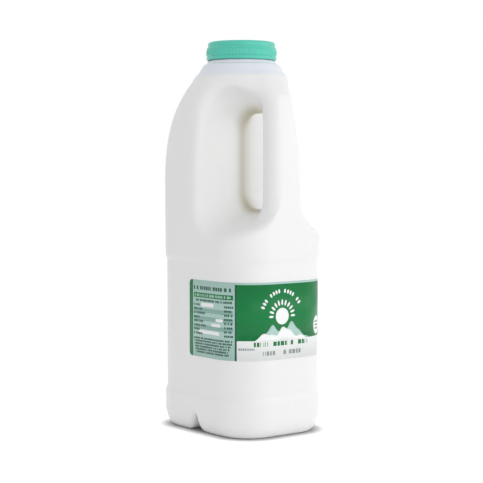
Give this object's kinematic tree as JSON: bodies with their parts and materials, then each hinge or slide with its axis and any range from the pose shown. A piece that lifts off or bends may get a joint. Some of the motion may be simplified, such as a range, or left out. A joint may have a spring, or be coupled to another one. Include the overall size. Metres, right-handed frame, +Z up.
{
  "type": "plastic milk jug",
  "caption": "Full, capped plastic milk bottle with a hollow integral handle, a set-back label panel and a wrap-round printed label.",
  "frame": {"origin": "centre of the base, on the surface that the bottle stands on", "axes": "+X from the back to the handle, +Y through the handle's gap, +Z up"},
  "size_m": [0.0904, 0.071, 0.2303],
  "materials": {
    "bottle": "natural blow-moulded HDPE, satin and translucent",
    "milk": "opaque white liquid",
    "cap": "injection-moulded teal-green HDPE, satin",
    "label": "printed film, green with pale panels"
  },
  "bodies": {
    "root": {"bottle": "bottle", "milk": "milk", "cap": "cap", "label": "label"}
  },
  "joints": []
}
